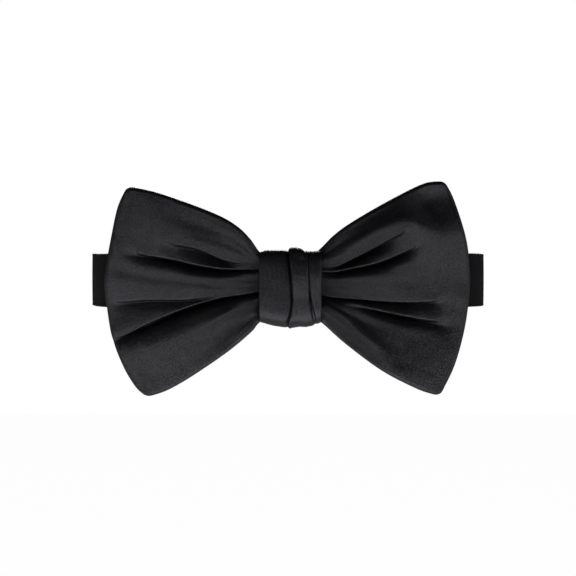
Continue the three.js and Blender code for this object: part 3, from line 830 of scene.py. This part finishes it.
# Angles are degrees round the loop from the knot, towards the right wing.
CLASP_ANGLE, CLASP_REACH = -158.0, 7.5
SLIDER_ANGLE = 150.0
SLIDER_BAR = 0.6
BAR_LIFT = BAND_PLY * 1.5 + 2 * GAP + SLIDER_BAR
TONGUE_BEND = WIRE + 0.45 + 0.5
FRAME_HALF = BAND_WIDTH / 2 + 0.75 + WIRE
DEGREES_PER_MM = 180 / (math.pi * (LOOP_RADIUS + LIFT))
HALF_CLASP = math.degrees(math.asin(CLASP_REACH / (LOOP_RADIUS + LIFT)))
HOOK_ANGLE = CLASP_ANGLE + HALF_CLASP
RING_ANGLE = CLASP_ANGLE + 360 - HALF_CLASP


def on_loop(degrees, lift):
    """The point (x, y) at an angle round the loop, lift mm outside the band's middle."""
    a = math.radians(degrees)
    r = LOOP_RADIUS + lift
    return np.array([r * math.sin(a), LOOP_Y - r * math.cos(a)])


def local_frame(origin, along):
    """A function from (along, outward) to a point (x, y), at a place on the loop."""
    along = along / np.linalg.norm(along)
    outward = np.array([along[1], -along[0]])
    if outward @ (origin - np.array([0, LOOP_Y])) < 0:
        outward = -outward
    return lambda s, n: origin + along * s + outward * n


hook_pivot, ring_pivot = on_loop(HOOK_ANGLE, LIFT), on_loop(RING_ANGLE, LIFT)
at_hook = local_frame(hook_pivot, ring_pivot - hook_pivot)
at_ring = local_frame(ring_pivot, hook_pivot - ring_pivot)
slider_turn = math.radians(SLIDER_ANGLE)
slider_along = np.array([math.cos(slider_turn), math.sin(slider_turn)])
at_slider = local_frame(on_loop(SLIDER_ANGLE, 0), slider_along)


def half_turn(place, radius, side):
    """Points half way round a bar, starting outside it (side 1) or inside it (side -1)."""
    angles = np.linspace(0, math.pi, 16)
    return [place(radius * math.sin(a), side * radius * math.cos(a)) for a in angles]


def band_section():
    """A flat sewn tube: rounded edges, and on its inner face a seam along the middle."""
    corners = np.split(rounded_section(BAND_PLY, BAND_WIDTH, 0.42), 4)
    outer_face, inner_face = [], []
    for side, face in ((1, outer_face), (-1, inner_face)):
        for z in np.linspace(BAND_WIDTH / 2 - 0.8, -BAND_WIDTH / 2 + 0.8, 25):
            bulge = -0.10 * (2 * z / BAND_WIDTH) ** 2
            seam = 0.22 * math.exp(-(z / 0.28) ** 2) if side < 0 else 0
            face.append((side * (BAND_PLY / 2 + bulge - seam), z))
    return np.vstack([*corners[:2], inner_face, *corners[2:], outer_face[::-1]])


def distances(points):
    """How far along a line of flat points each one is."""
    return np.concatenate([[0], np.cumsum(np.hypot(*np.diff(points, axis=0).T))])


def ribbon(name, path, shift):
    """The band along a path of (x, y) points. It wanders a little up and down, as cloth does."""
    path = smooth_path(path, 620)
    along = distances(path)
    drift = 0.12 * np.sin(along / 19.0 + shift) + 0.07 * np.sin(along / 7.3 + 1.7 * shift)
    line = np.column_stack([path, np.full(len(path), BAND_Z) + drift])
    section = band_section()
    vertices, faces = sweep(line, section)
    piece = make_mesh(name, vertices, faces)
    u, v = np.meshgrid(along, distances(section), indexing="ij")
    set_uv(piece, np.column_stack([u.ravel(), v.ravel()]))
    return piece


def neckband_path():
    """From the hem round the hook's wire, along the whole loop and round the ring's wire."""
    points = [on_loop(HOOK_ANGLE + 13 * DEGREES_PER_MM, BAND_PLY + GAP + 0.1),
              on_loop(HOOK_ANGLE + 8 * DEGREES_PER_MM, BAND_PLY + GAP + 0.3),
              on_loop(HOOK_ANGLE + 4 * DEGREES_PER_MM, 2.6)]
    points += half_turn(at_hook, LIFT, 1)
    points += [on_loop(a, 0) for a in np.linspace(HOOK_ANGLE + 2, RING_ANGLE - 2, 130)]
    points += half_turn(at_ring, LIFT, -1)
    return points


def return_path():
    """From the ring, back outside the band to the slider, round its middle bar and into the hem."""
    top, low = 2 * LIFT, BAND_PLY + GAP
    span = RING_ANGLE - SLIDER_ANGLE
    points = [at_ring(-GAP - 0.1, LIFT)]
    for i in range(1, 25):
        part = i / 24
        lift = low + (top - low) * math.exp(-((part * span) ** 2) / 40)
        points.append(on_loop(RING_ANGLE - span * part * 0.985, lift))
    around_bar = local_frame(on_loop(SLIDER_ANGLE, BAR_LIFT), -slider_along)
    points += half_turn(around_bar, BAR_LIFT - low, -1)
    points += [at_slider(4.5, 3.2), at_slider(8, 2 * low), at_slider(11, 2 * low - 0.5)]
    return points


def make_neckband():
    band = ribbon("neckband_ribbon", neckband_path(), 0.4)
    finish_piece(band, BAND_SATIN, "neckband")
    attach(band, "knot")
    doubled = ribbon("band_return_ribbon", return_path(), 2.1)
    finish_piece(doubled, BAND_SATIN, "band_return")
    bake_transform(doubled)


make_neckband()


# ---- hardware ----

def lifted(point, z):
    """A point of the loop at a height above the band's middle."""
    return np.array([point[0], point[1], BAND_Z + z])


def wire_loop(place, reach):
    """A rectangle of wire with rounded corners, from 0 to reach along and as high as the band."""
    points = []
    corner = 1.5
    near, far, high = corner, reach - corner, FRAME_HALF - corner
    for turn, (s, z) in enumerate([(far, high), (near, high), (near, -high), (far, -high)]):
        for a in np.radians(np.linspace(90 * turn, 90 * turn + 90, 9)):
            points.append(lifted(place(s + corner * math.cos(a), 0), z + corner * math.sin(a)))
    normal = np.append(place(0, 1) - place(0, 0), 0)
    return sweep(points, circle(WIRE, 20), closed_path=True, up=normal)


def plate(place, points, thickness, width):
    """A bent strip of metal that follows (along, outward) points."""
    path = [lifted(place(s, n), 0) for s, n in points]
    return sweep(path, rounded_section(thickness, width, 0.3))


def make_clasp():
    """The ring, and the hook: a smaller loop whose tongue bends back round the ring's far side."""
    ring = make_mesh("ring_wire", *wire_loop(at_ring, CLASP_REACH))
    finish_piece(ring, NICKEL, "ring")
    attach(ring, "ring")
    bend = [(3.4, 0), (3.9, -0.45), (4.5, -1.2), (5.2, -TONGUE_BEND), (6.4, -TONGUE_BEND)]
    bend += [(CLASP_REACH + TONGUE_BEND * math.sin(a), -TONGUE_BEND * math.cos(a))
             for a in np.linspace(0, math.pi, 20)]
    bend += [(CLASP_REACH - 1, TONGUE_BEND + 0.08), (CLASP_REACH - 2, TONGUE_BEND + 0.25)]
    hook = joined("hook_wire", [wire_loop(at_hook, 3.4), plate(at_hook, bend, 1.0, 10)])
    finish_piece(hook, NICKEL, "hook")
    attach(hook, "hook")


def make_slider():
    """Two end bars inside the band, a middle bar outside it, and an arched rail at each edge."""
    half, end_lift = 7.5, -BAND_PLY / 2 - 1.3
    rail_z = BAND_WIDTH / 2 + SLIDER_BAR + 0.8
    parts = []
    for s, n in ((1 - half, end_lift), (half - 1, end_lift), (0, BAR_LIFT)):
        line = [lifted(at_slider(s, n), z) for z in np.linspace(-rail_z, rail_z, 9)]
        parts.append(sweep(line, circle(SLIDER_BAR, 18), up=(1, 0.3, 0)))
    outline = [(-half, end_lift), (-half + 1.2, end_lift + 0.15), (-2.6, BAR_LIFT - 0.1),
               (0, BAR_LIFT + 0.25), (2.6, BAR_LIFT - 0.1), (half - 1.2, end_lift + 0.15),
               (half, end_lift)]
    for side in (-1, 1):
        curve = smooth_path(outline, 48)
        line = [lifted(at_slider(s, n), side * rail_z) for s, n in curve]
        parts.append(sweep(line, rounded_section(1.5, 1.5, 0.45)))
    piece = joined("slider_frame", parts)
    finish_piece(piece, NICKEL, "slider")
    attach(piece, "slider")


make_clasp()
make_slider()


# ---- stitches ----

def stitch(points, radius):
    path = smooth_path(points, 5 * len(points))
    return sweep(path, circle(radius, 8), up=(0.13, 0.21, 0.97))


def bar_tack(name, node, body, angle, lift):
    """A close zigzag of thread across the band, each stitch dipping into the cloth at its ends."""
    parts = []
    width, height, steps = 1.6, BAND_WIDTH - 4, 26
    for i in range(steps):
        z0, z1 = -height / 2 + height * i / steps, -height / 2 + height * (i + 1) / steps
        ends = (-width / 2, width / 2) if i % 2 else (width / 2, -width / 2)
        points = []
        for t in np.linspace(0, 1, 7):
            s = ends[0] + (ends[1] - ends[0]) * t
            n = lift - 0.12 + 0.30 * math.sin(math.pi * t)
            points.append(lifted(on_loop(angle + s * DEGREES_PER_MM, n), z0 + (z1 - z0) * t))
        parts.append(stitch(points, 0.17))
    piece = joined(name, parts)
    finish_piece(piece, THREAD, node)
    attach(piece, body)


def make_stitches():
    """The tacks of both hems, the seam behind the knot, and the thread wound round the waists."""
    bar_tack("hook_hem_stitches", "hook_hem_stitch", "knot", HOOK_ANGLE + 10.5 * DEGREES_PER_MM,
             BAND_PLY * 1.5 + GAP + 0.2)
    bar_tack("slider_hem_stitches", "slider_hem_stitch", "slider",
             SLIDER_ANGLE + 9 * DEGREES_PER_MM, 3.6)
    seam = []
    for i in range(11):
        z = -9 + 1.8 * i
        points = [(5.4 + 0.8 * math.sin(a), 0.02 - 0.22 * math.sin(a) ** 2, z + 0.7 * a / math.pi)
                  for a in np.linspace(-math.pi / 2, math.pi / 2, 7)]
        seam.append(stitch(points, 0.16))
    piece = joined("knot_seam_stitches", seam)
    finish_piece(piece, THREAD, "knot_seam_thread")
    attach(piece, "knot")
    turns = []
    for k in range(5):
        x = -1.2 + 0.6 * k
        a = np.linspace(0, 2 * math.pi, 60)[:-1]
        loop = np.column_stack([x + 0.05 * np.sin(3 * a), -7.7 - 3.3 * squared_off(np.cos(a), 0.4),
                                9.3 * squared_off(np.sin(a), 0.4)])
        turns.append(sweep(loop, circle(0.2, 8), closed_path=True, up=(1, 0, 0)))
    piece = joined("waist_thread_turns", turns)
    finish_piece(piece, THREAD, "waist_thread")
    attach(piece, "knot")


make_stitches()


# ---- camera and studio ----

# The width of the view at the bow, and where the camera stands.
VIEW_WIDTH = 190.08
CAMERA_DISTANCE = 800.0
CAMERA_RISE = math.radians(1.3)
AIM_Y = -9.0
SENSOR = 36.0
FLOOR_Z = -340.0
FLOOR_HALF = 4000.0


def make_camera():
    data = bpy.data.cameras.new("camera")
    data.sensor_width = SENSOR
    data.lens = SENSOR * CAMERA_DISTANCE / VIEW_WIDTH
    data.clip_start = 0.01
    data.clip_end = 20
    camera = bpy.data.objects.new("camera", data)
    target = Vector((0, AIM_Y * MM, 0))
    away = Vector((0, -math.cos(CAMERA_RISE), math.sin(CAMERA_RISE)))
    camera.location = target + away * CAMERA_DISTANCE * MM
    camera.rotation_euler = (-away).to_track_quat("-Z", "Y").to_euler()
    bpy.context.scene.collection.objects.link(camera)
    bpy.context.scene.camera = camera


def softbox(name, place, size, watts, target=(0, 0, 0)):
    """A soft light at a place, aimed at a target, both in metres."""
    data = bpy.data.lights.new(name, "AREA")
    data.shape = "RECTANGLE"
    data.size, data.size_y = size
    data.energy = watts
    light = bpy.data.objects.new(name, data)
    light.location = place
    aim = Vector(target) - Vector(place)
    light.rotation_euler = aim.to_track_quat("-Z", "Y").to_euler()
    bpy.context.scene.collection.objects.link(light)


def make_studio():
    """White all round for the camera, and dim for everything else, so that the folds stay dark."""
    scene = bpy.context.scene
    world = bpy.data.worlds.new("studio")
    scene.world = world
    world.use_nodes = True
    nodes, links = world.node_tree.nodes, world.node_tree.links
    fill, seen = nodes["Background"], nodes.new("ShaderNodeBackground")
    for background, strength in ((fill, 0.02), (seen, 1.0)):
        background.inputs["Color"].default_value = (1, 1, 1, 1)
        background.inputs["Strength"].default_value = strength
    rays = nodes.new("ShaderNodeLightPath")
    mix = nodes.new("ShaderNodeMixShader")
    links.new(rays.outputs["Is Camera Ray"], mix.inputs["Fac"])
    links.new(fill.outputs["Background"], mix.inputs[1])
    links.new(seen.outputs["Background"], mix.inputs[2])
    links.new(mix.outputs["Shader"], nodes["World Output"].inputs["Surface"])

    corners = ((-1, -1), (1, -1), (1, 1), (-1, 1))
    floor = make_mesh("floor", [(FLOOR_HALF * x, FLOOR_HALF * y, FLOOR_Z) for x, y in corners],
                      [[0, 1, 2, 3]])
    material, shader = new_material("floor")
    seen_directly = add_node(material, "LightPath", {}, "Is Camera Ray")
    glow = add_node(material, "MapRange", {"Value": seen_directly, "To Min": 0.2, "To Max": 0.965})
    set_inputs(shader, {
        "Base Color": (0.95, 0.95, 0.95, 1), "Roughness": 0.9, "Specular IOR Level": 0.1,
        "Emission Color": (1, 1, 1, 1), "Emission Strength": glow})
    floor.data.materials.append(material)

    softbox("front", (0.0, -1.6, 0.1), (1.5, 0.9), 0.21)
    softbox("low", (0.0, -0.34, -0.33), (0.8, 0.34), 1.75)
    softbox("left", (-1.3, -0.5, 0.25), (0.7, 0.7), 0.9)
    softbox("right", (1.3, -0.4, 0.25), (0.7, 0.7), 1.7)
    softbox("back", (0, 1.4, 0.5), (0.3, 0.6), 4.5, (0, 0.06, 0))
    scene.view_settings.view_transform = "Standard"
    scene.view_settings.look = "None"


make_camera()
make_studio()
